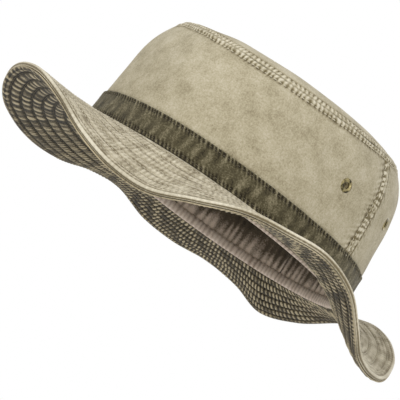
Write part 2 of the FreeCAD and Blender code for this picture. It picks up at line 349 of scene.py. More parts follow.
def weld(piece):
    """Joins the points that meet and drops the ones that no face uses."""
    cloth_mesh = bmesh.new()
    cloth_mesh.from_mesh(piece.data)
    ends = [face for face in cloth_mesh.faces if len(face.verts) > 4]
    bmesh.ops.delete(cloth_mesh, geom=ends, context="FACES_ONLY")
    bmesh.ops.remove_doubles(cloth_mesh, verts=cloth_mesh.verts, dist=1e-6)
    loose = [vert for vert in cloth_mesh.verts if not vert.link_faces]
    bmesh.ops.delete(cloth_mesh, geom=loose, context="VERTS")
    cloth_mesh.to_mesh(piece.data)
    cloth_mesh.free()


def dress(piece, slot, material, replaced=()):
    """Puts the piece on the hat, in its finish."""
    piece.data.materials.append(material)
    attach(piece, "root")
    if replaced:
        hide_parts(*replaced)


def lay_area(points):
    """Area of a grid of points in square metres."""
    a, b, c, d = points[:-1, :-1], points[1:, :-1], points[1:, 1:], points[:-1, 1:]
    halves = np.cross(b - a, c - a), np.cross(c - a, d - a)
    return float(sum(np.linalg.norm(half, axis=-1).sum() for half in halves) / 2.0 * MM * MM)


def length_along(points):
    """Length from the first row of a grid of points to each row."""
    steps = np.linalg.norm(np.diff(points, axis=1), axis=-1).cumsum(axis=1)
    return np.concatenate([np.zeros((len(points), 1)), steps], axis=1)


def arc(angle, radius=HEAD_RADIUS):
    """Length round the head oval, near enough for laying a weave."""
    return radius * np.radians(angle)


def stitches(name, middles, along, outward, material, slot, length=2.3, thick=0.5, rise=0.22):
    """Threads lying on the cloth, each sinking into it at both ends."""
    places = np.array([-1.0, -0.65, 0.0, 0.65, 1.0])
    sizes = np.array([0.35, 0.85, 1.0, 0.85, 0.35])
    turns = np.arange(6) * pi / 3.0
    along = along / np.linalg.norm(along, axis=-1, keepdims=True)
    outward = outward / np.linalg.norm(outward, axis=-1, keepdims=True)
    side = np.cross(outward, along)
    lift = rise * (1.0 - 1.6 * places**2)
    core = middles[:, None] + along[:, None] * (places * length / 2.0)[:, None]
    core = core + outward[:, None] * lift[:, None]
    around = side[:, None, None] * np.cos(turns)[:, None]
    around = around + outward[:, None, None] * np.sin(turns)[:, None]
    ring = around * (thick / 2.0 * sizes)[:, None, None]
    verts = (core[:, :, None] + ring).reshape(-1, 3) * MM
    shape = (len(middles), len(places), len(turns))
    index = np.arange(shape[0] * shape[1] * shape[2]).reshape(shape)
    turned = np.roll(index, -1, axis=2)
    quads = np.stack([index[:, :-1], turned[:, :-1], turned[:, 1:], index[:, 1:]], axis=-1)
    quads = quads.reshape(-1, 4)
    mesh, _ = make_mesh(name, verts, quads)
    dress(place_mesh(name, mesh), slot, material)


# Materials


def linear(red, green, blue):
    """A colour written 0 to 255 as on a screen."""
    values = [c / 255.0 for c in (red, green, blue)]
    return [c / 12.92 if c <= 0.04045 else ((c + 0.055) / 1.055) ** 2.4 for c in values] + [1.0]


class Nodes:
    """Short ways to add and join shader nodes."""

    def __init__(self, name):
        self.material = bpy.data.materials.new(name)
        self.material.use_nodes = True
        self.tree = self.material.node_tree
        self.tree.nodes.clear()
        self.shader = self.tree.nodes.new("ShaderNodeBsdfPrincipled")
        output = self.tree.nodes.new("ShaderNodeOutputMaterial")
        self.tree.links.new(self.shader.outputs[0], output.inputs[0])

    def add(self, kind, **values):
        node = self.tree.nodes.new("ShaderNode" + kind)
        for key, value in values.items():
            setattr(node, key, value)
        return node

    def feed(self, socket, value):
        if isinstance(value, bpy.types.NodeSocket):
            self.tree.links.new(value, socket)
        else:
            socket.default_value = value

    def put(self, node, **inputs):
        for key, value in inputs.items():
            self.feed(node.inputs[key.replace("_", " ")], value)
        return node

    def math(self, operation, a, b):
        node = self.add("Math", operation=operation)
        self.feed(node.inputs[0], a)
        self.feed(node.inputs[1], b)
        return node.outputs[0]

    def noise(self, place, scale, detail, rough):
        node = self.put(self.add("TexNoise"), Vector=place, Scale=scale, Detail=detail, Roughness=rough)
        return node.outputs["Fac"]

    def ramp(self, value, low, high, to_low=0.0, to_high=1.0, kind="SMOOTHSTEP"):
        node = self.add("MapRange", clamp=True, interpolation_type=kind)
        for socket, number in zip(node.inputs, (value, low, high, to_low, to_high)):
            self.feed(socket, number)
        return node.outputs[0]

    def mix(self, share, one, two):
        node = self.add("Mix", data_type="RGBA")
        for number, value in ((0, share), (6, one), (7, two)):
            self.feed(node.inputs[number], value)
        return node.outputs[2]


def cloth(name, base, pale, dark, mottle, blotch=34.0, streak=0.0):
    """Washed cotton: a twill weave, uneven dye, pale worn ridges, and dark hollows where it is sewn
    down, which are partly painted shade.
    """
    n = Nodes(name)
    place = n.add("TexCoord").outputs["Object"]
    flat = n.add("UVMap", uv_map="cloth").outputs[0]
    # The mesh's mark: wear on ridges and edges, and painted shade in hollows, grooves, corners and on
    # faces inside the hat
    wear_and_shade = n.add("Attribute", attribute_name="wear_and_shade", attribute_type="GEOMETRY").outputs["Fac"]
    patches = n.noise(place, blotch, 2.0, 0.5)
    grains = n.noise(place, 260.0, 4.0, 0.7)
    specks = n.noise(place, 1100.0, 2.0, 0.6)
    tone = n.math("MULTIPLY", n.math("SUBTRACT", patches, 0.5), 1.2 * mottle)
    tone = n.math("ADD", tone, n.math("MULTIPLY", n.math("SUBTRACT", grains, 0.5), 2.0 * mottle))
    tone = n.math("ADD", tone, n.math("MULTIPLY", n.math("SUBTRACT", specks, 0.5), 3.0 * mottle))
    if streak:
        mapped = n.put(n.add("Mapping"), Vector=flat, Scale=(420.0, 55.0, 1.0))
        streaks = n.noise(mapped.outputs[0], 1.0, 3.0, 0.6)
        tone = n.math("ADD", tone, n.math("MULTIPLY", n.math("SUBTRACT", streaks, 0.5), streak))
    tone = n.math("ADD", tone, wear_and_shade)
    shade = n.mix(n.ramp(n.math("MULTIPLY", tone, -1.0), 0.0, 1.0, kind="LINEAR"), base, dark)
    colour = n.mix(n.ramp(tone, 0.0, 1.0, kind="LINEAR"), shade, pale)
    turned = n.put(n.add("Mapping"), Vector=flat, Rotation=(0.0, 0.0, radians(58.0)))
    twill = n.add("TexWave", wave_type="BANDS", bands_direction="X", wave_profile="SIN")
    n.put(twill, Vector=turned.outputs[0], Scale=0.314 / (TWILL_PITCH * MM))
    n.put(twill, Distortion=0.6, Detail=1.0, Detail_Scale=2.0)
    threads = twill.outputs["Fac"]
    colour = n.mix(n.math("MULTIPLY", threads, 0.10), colour, dark)
    height = n.math("ADD", n.math("MULTIPLY", threads, 0.5), n.math("MULTIPLY", grains, 0.7))
    bump = n.put(n.add("Bump"), Strength=0.55, Distance=0.00022, Height=height)
    n.put(n.shader, Normal=bump.outputs[0], Roughness=0.93)
    n.tree.links.new(colour, n.shader.inputs["Base Color"])
    n.shader.inputs["Specular IOR Level"].default_value = 0.18
    n.shader.inputs["Sheen Weight"].default_value = 0.12
    n.shader.inputs["Sheen Roughness"].default_value = 0.6
    return n.material


def thread(name, colour, dark):
    """Twisted cotton thread."""
    n = Nodes(name)
    place = n.add("TexCoord").outputs["Object"]
    strands = n.noise(place, 900.0, 2.0, 0.5)
    patches = n.noise(place, 60.0, 2.0, 0.5)
    share = n.math("ADD", n.math("MULTIPLY", strands, 0.6), n.math("MULTIPLY", patches, 0.4))
    mixed = n.mix(share, dark, colour)
    bump = n.put(n.add("Bump"), Strength=0.6, Distance=0.0001, Height=strands)
    n.put(n.shader, Normal=bump.outputs[0], Roughness=0.8)
    n.tree.links.new(mixed, n.shader.inputs["Base Color"])
    n.shader.inputs["Sheen Weight"].default_value = 0.1
    return n.material


def antique_brass():
    """Dull plated brass, darker in its hollows and rubbed bright in places."""
    n = Nodes("antique_brass")
    place = n.add("TexCoord").outputs["Object"]
    stains = n.noise(place, 320.0, 4.0, 0.65)
    scratches = n.noise(place, 2400.0, 2.0, 0.6)
    colour = n.mix(n.ramp(stains, 0.35, 0.68), linear(34, 30, 18), linear(160, 147, 104))
    rough = n.ramp(scratches, 0.3, 0.7, 0.28, 0.5)
    bump = n.put(n.add("Bump"), Strength=0.3, Distance=0.00006, Height=scratches)
    n.put(n.shader, Normal=bump.outputs[0], Roughness=rough)
    n.tree.links.new(colour, n.shader.inputs["Base Color"])
    n.shader.inputs["Metallic"].default_value = 0.9
    return n.material


crown_cloth = cloth(
    "crown_cotton", linear(181, 171, 144), linear(216, 208, 186), linear(120, 109, 80), mottle=0.55
)
brim_cloth = cloth(
    "brim_cotton", linear(184, 174, 149), linear(226, 218, 196), linear(118, 106, 80), mottle=0.5
)
band_cloth = cloth(
    "band_cotton",
    linear(90, 83, 60),
    linear(150, 141, 114),
    linear(44, 38, 22),
    mottle=0.8,
    blotch=90.0,
    streak=0.6,
)
under_cloth = cloth(
    "under_cotton",
    linear(98, 87, 64),
    linear(194, 180, 148),
    linear(26, 20, 8),
    mottle=0.7,
    blotch=70.0,
)
# The sweatband's dark base colour is painted shade from deep inside the crown
sweat_cloth = cloth(
    "sweatband_cotton",
    linear(88, 77, 62),
    linear(206, 188, 170),
    linear(34, 27, 18),
    mottle=0.4,
    streak=0.4,
)
edge_cloth = cloth(
    "binding_cotton", linear(214, 196, 180), linear(232, 218, 202), linear(150, 132, 116), mottle=0.4
)
lining_cloth = cloth(
    "tape_cotton", linear(150, 140, 118), linear(180, 170, 148), linear(104, 94, 74), mottle=0.3
)
cream_thread = thread("cream_thread", linear(226, 218, 196), linear(186, 176, 150))
olive_thread = thread("olive_thread", linear(120, 110, 86), linear(60, 52, 36))
brass = antique_brass()

HALVES = {"front": (-90.0, 90.0), "back": (90.0, 270.0)}
# Steps between columns in degrees
FINE = 0.34
BRIM_FINE = 0.22


# Brim


def quilt(angle, run, lift, dip, seed, pitch, ridged, sunk):
    """Height, and wear with painted shade, of the cloth between its sewn rows: ridges on each ring,
    hollows at rows.
    """
    ring = np.floor((FIRST_ROW - run) / ROW_PITCH)
    share = (FIRST_ROW - run) / ROW_PITCH - ring
    middle = FIRST_ROW - ROW_PITCH * (ring + 0.5)
    count = np.round(2.0 * pi * (HEAD_RADIUS + middle) / pitch)
    drift = 1.3 * wander(seed, arc(angle), ring * 61.0, 17.0)
    fine = 0.5 + 0.5 * np.cos(count * np.radians(angle) + pi * ring + drift)
    broad = 0.5 + 0.5 * np.cos(np.round(count / 3.0) * np.radians(angle) + pi * ring + drift)
    curled = near((angle - CURL_ANGLE + 180.0) % 360.0 - 180.0, CURL_SPREAD_ANGLE)
    ridge = (1.0 - curled) * fine + curled * broad**1.4
    strength = 0.85 + 0.45 * wander(seed + 1, arc(angle), ring * 47.0, 9.0)
    arch = np.sin(pi * np.clip(share, 0.0, 1.0)) ** 0.7
    sewn = np.zeros_like(arch)
    for row in SEWN_RUNS:
        sewn = sewn + near(run - row, 0.95)
    rows_on = np.clip((run - SEWN_RUNS[-1] + 4.0) / 3.0, 0.0, 1.0)
    ridge = ridge**1.1 * strength
    height = lift * arch * (0.25 + 0.75 * ridge) - dip * sewn
    # Pale ridges are wash wear; the darker valleys and sewn rows are dye kept in the hollows and
    # painted shade there
    wear_and_shade = (arch * (ridged * (ridge - 0.42) + 0.12) - sunk * sewn) * rows_on
    return height * rows_on, wear_and_shade


def fray(angle, seed):
    """Unevenness of the brim's rolled edge."""
    along = arc(angle, EDGE_RADIUS)
    return 0.07 * (puckers(seed, along) - 0.5) + 0.1 * wander(seed + 3, along, 0.0, 40.0)


def brim_piece(layer, half):
    start, end = HALVES[half]
    angles = spread(start + BUTT_ANGLE, end - BUTT_ANGLE, BRIM_FINE)[:, None]
    if layer == "upper":
        face = spread(-ALLOWANCE, BRIM_WIDTH - ROLL_START, 0.7)
        turns = np.linspace(0.0, pi, 10)[1:]
        edge_run = BRIM_WIDTH - ROLL_START + ROLL_OUT * np.sin(turns)
        edge_depth = ROLL_RADIUS - ROLL_RADIUS * np.cos(turns)
        inside = spread(INSIDE_START, -ALLOWANCE, INSIDE_STEP)
        inner_run = np.concatenate([[ROLL_LAP, ROLL_LAP], inside])
        inner_depth = np.full(len(inner_run), BRIM_CLOTH)
        inner_depth[0] = 2.0 * ROLL_RADIUS
        height, wear_and_shade = quilt(angles, face[None], 0.3, 0.34, 11, 3.0, 1.1, 0.9)
        billow = 0.2 * wander(5, arc(angles), face[None], 30.0)
        height = height * 0.9 + billow * np.clip(face / 20.0, 0.0, 1.0)
        ripple = fray(angles, 17)
        near_edge = np.clip((face - 50.0) / 0.6, 0.0, 1.0)
        wear_and_shade = wear_and_shade + 0.55 * wander(12, arc(angles) * 0.12, face[None], 2.6)
        wear_and_shade = wear_and_shade + 0.3 * wander(13, arc(angles), face[None], 9.0)
        gutter = near(face - EDGE_ROW, 0.55)
        height = height * np.clip((50.4 - face) / 1.5, 0.0, 1.0) - 0.35 * gutter
        wear_and_shade = np.clip(wear_and_shade, -1.5, 0.9) * 0.75 * (1.0 - 0.6 * near_edge) - 0.1
        # The dark line in the groove at the edge row is painted shade
        wear_and_shade = wear_and_shade + 0.6 * near_edge - 1.3 * gutter
        face_depth = -height
        lap_line = near(turns - 1.9, 0.32)
        # Painted shade where the rolled edge turns under, below the pale worn bead
        edge_wear_and_shade = 0.6 + 3.6 * ripple - 2.6 * lap_line
        run_out = ripple - 0.35 * lap_line
    else:
        face = spread(-ALLOWANCE, BRIM_WIDTH - 0.8, 0.55)
        edge_run = np.array(UNDER_EDGE_RUNS)
        edge_depth = np.array(UNDER_EDGE_DEPTHS)
        inside = spread(INSIDE_START, -ALLOWANCE, INSIDE_STEP)
        inner_run = np.concatenate([[50.15, 49.9], inside])
        inner_depth = np.full(len(inner_run), BRIM_THICKNESS - BRIM_CLOTH)
        inner_depth[0] = 3.3
        height, wear_and_shade = quilt(angles, face[None], 0.7, 0.55, 31, 2.8, 2.4, 1.25)
        height = height * np.clip((BRIM_WIDTH - 0.6 - face) / 2.0, 0.0, 1.0)
        billow = 0.25 * wander(8, arc(angles), face[None], 34.0)
        height = height + billow * np.clip(face / 20.0, 0.0, 1.0)
        face_depth = BRIM_THICKNESS + height
        gutter = near(face - EDGE_ROW, 0.5)
        # The dark line at the edge row is painted shade, as on the upper face
        wear_and_shade = np.where(face > FIRST_ROW + 1.0, 0.7 * wear_and_shade + 0.25, wear_and_shade) - 1.3 * gutter
        ripple = fray(angles, 17)
        edge_wear_and_shade = 0.9 + 3.2 * ripple + 0.0 * edge_run
        run_out = ripple + 0.0 * edge_run
    still = 0.0 * angles
    runs = np.concatenate([face + still, edge_run + run_out, inner_run + still], axis=1)
    depths = np.concatenate([face_depth + still, edge_depth + still, inner_depth + still], axis=1)
    marks = np.concatenate([wear_and_shade + still, edge_wear_and_shade, 0.0 * inner_run + still], axis=1)
    uv = np.stack([arc(angles, BRIM_RADIUS) + 0.0 * runs, runs + depths], axis=-1)
    piece = build("brim_%s_%s_cloth" % (layer, half), brim(angles, runs, depths), uv=uv, wear_and_shade=marks)
    finish = {"upper": ("brim_cloth", brim_cloth), "under": ("under_brim_cloth", under_cloth)}
    dress(piece, *finish[layer], ["brim_%s_%s" % (layer, half)])
    cut = lay_area(brim(angles, face[None], 0.0))


def stiffener_piece(half):
    start, end = HALVES[half]
    angles = spread(start + BUTT_ANGLE, end - BUTT_ANGLE, 2.0)[:, None]
    face = spread(-ALLOWANCE, BRIM_WIDTH - BRIM_EDGE_TURN, 3.0)
    top = BRIM_CLOTH + LAP_GAP
    runs = np.concatenate([face, face[::-1]])[None] + 0.0 * angles
    depths = np.concatenate([face * 0.0 + top, face * 0.0 + top + BRIM_STIFFENER])[None] + 0.0 * angles
    uv = np.stack([arc(angles, BRIM_RADIUS) + 0.0 * runs, runs], axis=-1)
    piece = build("brim_stiffener_%s_felt" % half, brim(angles, runs, depths), uv=uv, wear_and_shade=0.0)
    dress(piece, "stiffener_cloth", lining_cloth, ["brim_stiffener_%s" % half])
    cut = lay_area(brim(angles, face[None], 0.0))


def brim_rows(name, depth, inset, material, slot, seed, outward, thick):
    """The sewn rows of one face of the brim."""
    middles = []
    ways = []
    for number, row in enumerate(SEWN_RUNS):
        count = int(2.0 * pi * (HEAD_RADIUS + row) / STITCH_PITCH)
        angles = (np.arange(count) + 0.5 * (number % 2)) * 360.0 / count - 90.0
        place = row + 0.25 * wander(seed + number, arc(angles), 0.0, 60.0)
        middles.append(brim(angles, place, depth + inset))
        ahead = brim(angles + 0.4, place, depth + inset)
        ways.append(ahead - brim(angles - 0.4, place, depth + inset))
    middles = np.concatenate(middles)
    ways = np.concatenate(ways)
    radial = middles * [1.0, 1.0, 0.0]
    flat = radial / np.linalg.norm(radial, axis=-1, keepdims=True)
    side = np.cross(ways, flat)
    side = side * np.sign(side[:, 2:3]) * outward
    stitches(name, middles, ways, side, material, slot, thick=thick)


for half in HALVES:
    stiffener_piece(half)
    for layer in ("upper", "under"):
        brim_piece(layer, half)
brim_rows("brim_top_stitches", 0.0, 0.1, cream_thread, "brim_cloth", 71, 1.0, 0.45)
brim_rows("brim_under_stitches", BRIM_THICKNESS, -0.2, olive_thread, "under_brim_cloth", 83, -1.0, 0.42)


# Crown


def seam_relief(distance, along, seed):
    """Height, and wear with painted shade, beside a seam sewn down on both sides of its line."""
    folds = puckers(seed, along, distance)
    folds = folds * (0.75 + 0.3 * wander(seed + 7, along, distance, 11.0))
    beside = np.abs(distance)
    height = 0.6 * near(beside - 1.6, 1.3) - 0.15 * near(distance, 0.4)
    height = height - near(beside - SEAM_ROW, 0.75) * (0.25 + 0.55 * (1.0 - folds))
    height = height + 0.34 * (folds - 0.5) * near(beside - SEAM_ROW, 3.0)
    # Pale welts beside the line are wear; the dark at the line between the pieces is painted shade in
    # the gap
    wear_and_shade = 0.75 * near(beside - 1.7, 1.3) * (0.3 + folds) - 0.3 * near(distance, 0.3)
    wear_and_shade = wear_and_shade + 1.5 * (folds - 0.5) * near(beside - 2.0, 2.0)
    # The dark in the dimples at the stitch rows and just outside them is painted shade
    wear_and_shade = wear_and_shade - 1.1 * near(beside - SEAM_ROW, 1.0) * (1.0 - folds)
    wear_and_shade = wear_and_shade - 0.35 * near(beside - SEAM_ROW - 1.3, 0.8)
    return height, wear_and_shade


def eyelet_axes():
    """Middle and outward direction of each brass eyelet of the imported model."""
    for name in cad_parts:
        if name.startswith("eyelet_"):
            low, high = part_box(name)
            point = (np.array(low) + np.array(high)) / 2.0 / MM
            angle = degrees(atan2(point[0] / HALF_WIDTH, -point[1] / HALF_LENGTH))
            along = wall(angle + 1.0, point[2], 0.0) - wall(angle - 1.0, point[2], 0.0)
            upward = wall(angle, point[2] + 1.0, 0.0) - wall(angle, point[2] - 1.0, 0.0)
            out = np.cross(along, upward)
            yield point, out / np.linalg.norm(out)


AXES = list(eyelet_axes())


def clear_of_eyelets(points):
    """Leaves out the faces inside an eyelet's barrel."""
    reach = BARREL_RADIUS - 0.1
    kept = np.ones(len(points), bool)
    for point, out in AXES:
        offset = points - point
        beside = offset - np.outer(offset @ out, out)
        close = np.linalg.norm(beside, axis=1) < reach
        kept &= ~(close & (np.linalg.norm(offset, axis=1) < BARREL_REACH))
    return kept


def eyelet_calm(points):
    """0 beside an eyelet to 1 away from it, where the cloth may wrinkle."""
    calm = 1.0
    for point, _ in AXES:
        calm = calm * (1.0 - near(np.linalg.norm(points - point, axis=-1), CALM_WIDTH))
    return calm


def crown_relief(angle, points, distance):
    """Height, and wear with painted shade, of the crown's outer face, from its seams, band and soft
    creases.
    """
    along = arc(angle, CROWN_RADIUS)
    z = points[..., 2]
    height, wear_and_shade = seam_relief(distance, along, 41)
    for seam_angle in (90.0, 270.0):
        aside = arc((angle - seam_angle + 180.0) % 360.0 - 180.0, SIDE_RADIUS)
        fade = np.clip(-distance / 4.0, 0.0, 1.0)
        side_height, side_wear_and_shade = seam_relief(aside, z, 43)
        height = height + side_height * fade
        creases = puckers(44, z + 0.5 * np.abs(aside), aside, 3.6) * near(aside, 7.5) * fade
        # Darker patches beside the side seams
        side_seam_dark_patches = np.clip(wander(45, aside * 1.5, z, 7.0), 0.0, 1.0) * near(np.abs(aside) - 3.0, 4.5)
        height = height + 0.45 * creases
        wear_and_shade = wear_and_shade + (1.3 * side_wear_and_shade - side_seam_dark_patches) * fade + 1.5 * creases
        wear_and_shade = wear_and_shade - 0.75 * near(aside, 7.5) * fade
    calm = eyelet_calm(points)
    soft = 0.28 * wander(51, along, z, 42.0) + 0.13 * wander(52, along, z * 0.6, 15.0)
    height = height + soft * calm * np.clip(z / 24.0, 0.0, 1.0)
    # The dark line just above the band's top edge is painted shade in the corner where the band stands
    # out from the crown
    wear_and_shade = wear_and_shade + 0.16 * wander(53, along, z, 20.0) - 0.5 * near(z - BAND_HEIGHT - 0.4, 0.8)
    return height, wear_and_shade


for half, (start, end) in HALVES.items():
    angles = spread(start + BUTT_ANGLE, end - BUTT_ANGLE, FINE)[:, None]
    seam = seam_place(angles)
    foot = LAP_GAP / TIP_SEAM_HEIGHT
    head = seam - place_step(seam, 0.01)
    shares = np.concatenate([np.linspace(0.0, 0.8, 64), np.linspace(0.8, 1.0, 40)[1:]])
    places = foot + (head - foot) * shares
    points = crown(angles, places, 0.0)
    length = length_along(points)
    distance = length - length[:, -1:] - BUTT_GAP / 2.0
    height, wear_and_shade = crown_relief(angles, points, distance)
    inner = places[:, ::-5]
    outer = crown(angles, places, -height)
    inside = crown(angles, inner, CROWN_CLOTH)
    uv = np.stack([arc(angles, PANEL_RADIUS) + 0.0 * places, length], axis=-1)
    uv_inside = np.stack([arc(angles, PANEL_RADIUS) + 0.0 * inner, length[:, ::-5]], axis=-1)
    piece = build(
        "crown_%s_cloth" % half,
        np.concatenate([outer, inside], axis=1),
        uv=np.concatenate([uv, uv_inside], axis=1),
        # The crown's inner face is painted darker as shade
        wear_and_shade=np.concatenate([wear_and_shade, INSIDE_PAINTED_SHADE + 0.0 * inner], axis=1),
        keep=clear_of_eyelets,
    )
    dress(piece, "crown_cloth", crown_cloth, ["crown_%s_panel" % half])
    lay_area(points)

# Tip
angles = spread(-180.0, 180.0, FINE)[:, None]
seam = seam_place(angles)
edge = seam + place_step(seam, 0.01)
shares = np.concatenate([np.linspace(0.0, 0.25, 40), np.linspace(0.25, 1.0, 44)[1:]])
places = edge + (2.0 - edge) * shares
points = crown(angles, places, 0.0)
length = length_along(points)
height, wear_and_shade = seam_relief(length + BUTT_GAP / 2.0, arc(angles, CROWN_RADIUS), 47)
billow = 0.3 * wander(61, points[..., 0], points[..., 1], 40.0)
height = height + billow * np.clip(length / 12.0, 0.0, 1.0)
wear_and_shade = wear_and_shade + 0.2 * wander(62, points[..., 0], points[..., 1], 22.0)
inner = places[:, ::-6]


def off_the_middle(centres):
    """Leaves out the faces between the two sides of the cloth where the rows meet in a line."""
    return (np.abs(centres[:, 0]) > 1e-6) | (np.abs(centres[:, 1]) > HALF_LENGTH - HALF_WIDTH)


tip = build(
    "crown_tip_cloth",
    np.concatenate([crown(angles, places, -height), crown(angles, inner, CROWN_CLOTH)], axis=1),
    uv=np.concatenate([points[..., :2], points[:, ::-6, :2]], axis=1),
    # The tip's inner face is painted darker as shade
    wear_and_shade=np.concatenate([wear_and_shade, INSIDE_PAINTED_SHADE + 0.0 * inner], axis=1),
    keep=off_the_middle,
)
weld(tip)
dress(tip, "crown_cloth", crown_cloth, ["crown_tip"])
lay_area(points)

# Band
angles = spread(-180.0 + BUTT_ANGLE, 180.0 - BUTT_ANGLE, FINE)[:, None]
rows = spread(LAP_GAP, BAND_HEIGHT, 0.42)
along = arc(angles, BAND_RADIUS)
folds = puckers(81, along + 0.5 * rows[None], 0.4 * rows[None], 2.7)
edges = near(rows - BAND_HEIGHT + BAND_ROW_DROP, 0.6) + near(rows - BAND_ROW_LOW, 0.6)
beside = near(rows - BAND_HEIGHT + 1.0, 2.2) + near(rows - 1.0, 2.4)
height = -0.5 * edges * (1.25 - folds) + 0.4 * (folds - 0.4) * beside
height = height + 0.2 * wander(82, along, rows[None], 17.0) * np.clip(rows / 3.0, 0.0, 1.0)
rim = np.clip((rows - BAND_HEIGHT + 0.5) / 0.5, 0.0, 1.0) + np.clip((0.6 - rows) / 0.5, 0.0, 1.0)
height = height - 0.3 * rim**2
ticks = near(rows - BAND_HEIGHT, 3.6) + 0.8 * near(rows, 3.6)
# Pale fold ridges are wear; the dark in the hollows at the stitch rows and near the edges is painted
# shade
wear_and_shade = 1.2 * (folds - 0.5) * beside - 0.9 * edges * (1.1 - folds) - 0.8 * (1.0 - folds) * ticks
wear_and_shade = wear_and_shade + 0.4 * wander(83, along, rows[None] * 0.5, 9.0)
inner = rows[::-5]
lap = LAP_GAP + BAND_CLOTH
seen_face = wall(angles, rows, -lap - height)
hidden_face = wall(angles, inner, -LAP_GAP + 0.0 * angles)
band = build(
    "hat_band_cloth",
    np.concatenate([seen_face, hidden_face], axis=1),
    uv=np.stack(np.broadcast_arrays(along, np.concatenate([rows, inner])), axis=-1),
    wear_and_shade=np.concatenate([wear_and_shade, 0.0 * inner + 0.0 * angles], axis=1),
)
dress(band, "band_cloth", band_cloth, ["hat_band"])

# Sweatband, with long puckers that open towards its foot, painted darker up inside the crown and paler
# towards its foot as painted shade
rows = spread(SWEATBAND_FOOT, SWEATBAND_HEIGHT, 0.8)
angles = spread(-180.0 + BUTT_ANGLE, 180.0 - BUTT_ANGLE, FINE * 1.4)[:, None]
along = arc(angles, SWEATBAND_RADIUS)
low = np.clip(1.0 - (rows - SWEATBAND_FOOT) / 24.0, 0.15, 1.0)
folds = puckers(91, along, rows[None] * 0.12, 5.2)
height = (folds - 0.5) * low + 0.35 * wander(92, along, rows[None] * 0.5, 24.0)
height = height * np.clip((rows + 1.0) / 6.0, 0.25, 1.0)
# Paler towards the foot and darker higher up: painted shade inside the crown
wear_and_shade = 1.2 * (folds - 0.5) * low + 2.0 * low**1.5 - 0.5 + 0.3 * wander(93, along, rows[None] * 0.3, 9.0)
inner = rows[::-4]
seen_face = wall(angles, rows, SWEATBAND_DEPTH + SWEATBAND_CLOTH + height)
hidden_face = wall(angles, inner, SWEATBAND_DEPTH + 0.0 * angles)
sweat = build(
    "sweatband_cloth",
    np.concatenate([seen_face, hidden_face], axis=1),
    uv=np.stack(np.broadcast_arrays(along, np.concatenate([rows, inner])), axis=-1),
    wear_and_shade=np.concatenate([wear_and_shade, 0.0 * inner + 0.0 * angles], axis=1),
)
dress(sweat, "sweatband_cloth", sweat_cloth, ["sweatband"])

# Binding, folded round the sweatband's foot
centre = SWEATBAND_DEPTH + SWEATBAND_CLOTH / 2.0
fold = SWEATBAND_CLOTH / 2.0 + LAP_GAP
top = SWEATBAND_FOOT + BINDING_REACH
turns = np.linspace(0.0, pi, 11)
outer_fold = fold + BINDING_CLOTH
section = [(centre + fold, top), (centre + outer_fold, top)]
section += [(centre + outer_fold * cos(t), SWEATBAND_FOOT - outer_fold * sin(t)) for t in turns]
section += [(centre + fold * cos(t), SWEATBAND_FOOT - fold * sin(t)) for t in turns[::-1]]
section = np.array(section)
ripple = 0.4 * (puckers(95, along) - 0.5)
swell = np.concatenate([[0.0, 1.0], np.ones(len(turns)), np.zeros(len(turns))])
outwards = np.sign(section[:, 0] - centre)
binding = build(
    "sweatband_binding_cloth",
    wall(angles, section[:, 1] + 0.5 * ripple * swell, section[:, 0] + ripple * swell * outwards),
    uv=np.stack(np.broadcast_arrays(along, np.arange(len(section)) * 0.6), axis=-1),
    wear_and_shade=2.6 * ripple + 0.25 * wander(96, along, 0.0, 13.0) + 0.0 * section[:, 0],
)
dress(binding, "binding_cloth", edge_cloth, ["sweatband_binding"])


# Tapes inside


def tape(name, node, outer, inner):
    points = np.concatenate([outer, inner[:, ::-1]], axis=1)
    steps = np.arange(points.shape[1]) * 1.5
    uv = np.stack(np.broadcast_arrays(np.arange(len(points))[:, None] * 3.0, steps), axis=-1)
    piece = build(name, points, uv=uv, wear_and_shade=0.0)
    dress(piece, "tape_cloth", lining_cloth, [node])


angles = spread(-180.0 + BUTT_ANGLE, 180.0 - BUTT_ANGLE, 2.0)[:, None]
seam = seam_place(angles)
places = seam + place_step(seam, np.linspace(-TAPE_WIDTH / 2.0, TAPE_WIDTH / 2.0, 9))
faces = [crown(angles, places, TAPE_DEPTH + depth) for depth in (0.0, TAPE_CLOTH)]
tape("tip_seam_tape_cloth", "tip_seam_tape", faces[0], faces[1])
half_turn = TAPE_WIDTH / 2.0 / HALF_LENGTH * 180.0 / pi
for side, angle in (("left", 90.0), ("right", 270.0)):
    seam = seam_place(angle)
    head = seam - place_step(seam, TAPE_WIDTH / 2.0 + 2.0 * BUTT_GAP)
    places = np.linspace(LAP_GAP / TIP_SEAM_HEIGHT, head, 40)[:, None]
    across = np.linspace(angle - half_turn, angle + half_turn, 7)[None]
    faces = [crown(across, places, TAPE_DEPTH + depth) for depth in (0.0, TAPE_CLOTH)]
    name = "side_seam_tape_%s" % side
    tape(name + "_cloth", name, faces[0], faces[1])


# Threads on the crown and band


def seam_threads(name, points, forward, material, slot, **sizes):
    outward = points * [1.0, 1.0, 0.0]
    outward = outward / np.linalg.norm(outward, axis=-1, keepdims=True)
    normal = np.cross(forward, np.cross(outward, forward))
    stitches(name, points, forward, normal, material, slot, **sizes)


def round_threads(name, point, material, slot, reach, **sizes):
    count = int(2.0 * pi * reach / STITCH_PITCH)
    angles = np.arange(count) * 360.0 / count - 90.0
    forward = point(angles + 0.4) - point(angles - 0.4)
    seam_threads(name, point(angles), forward, material, slot, **sizes)


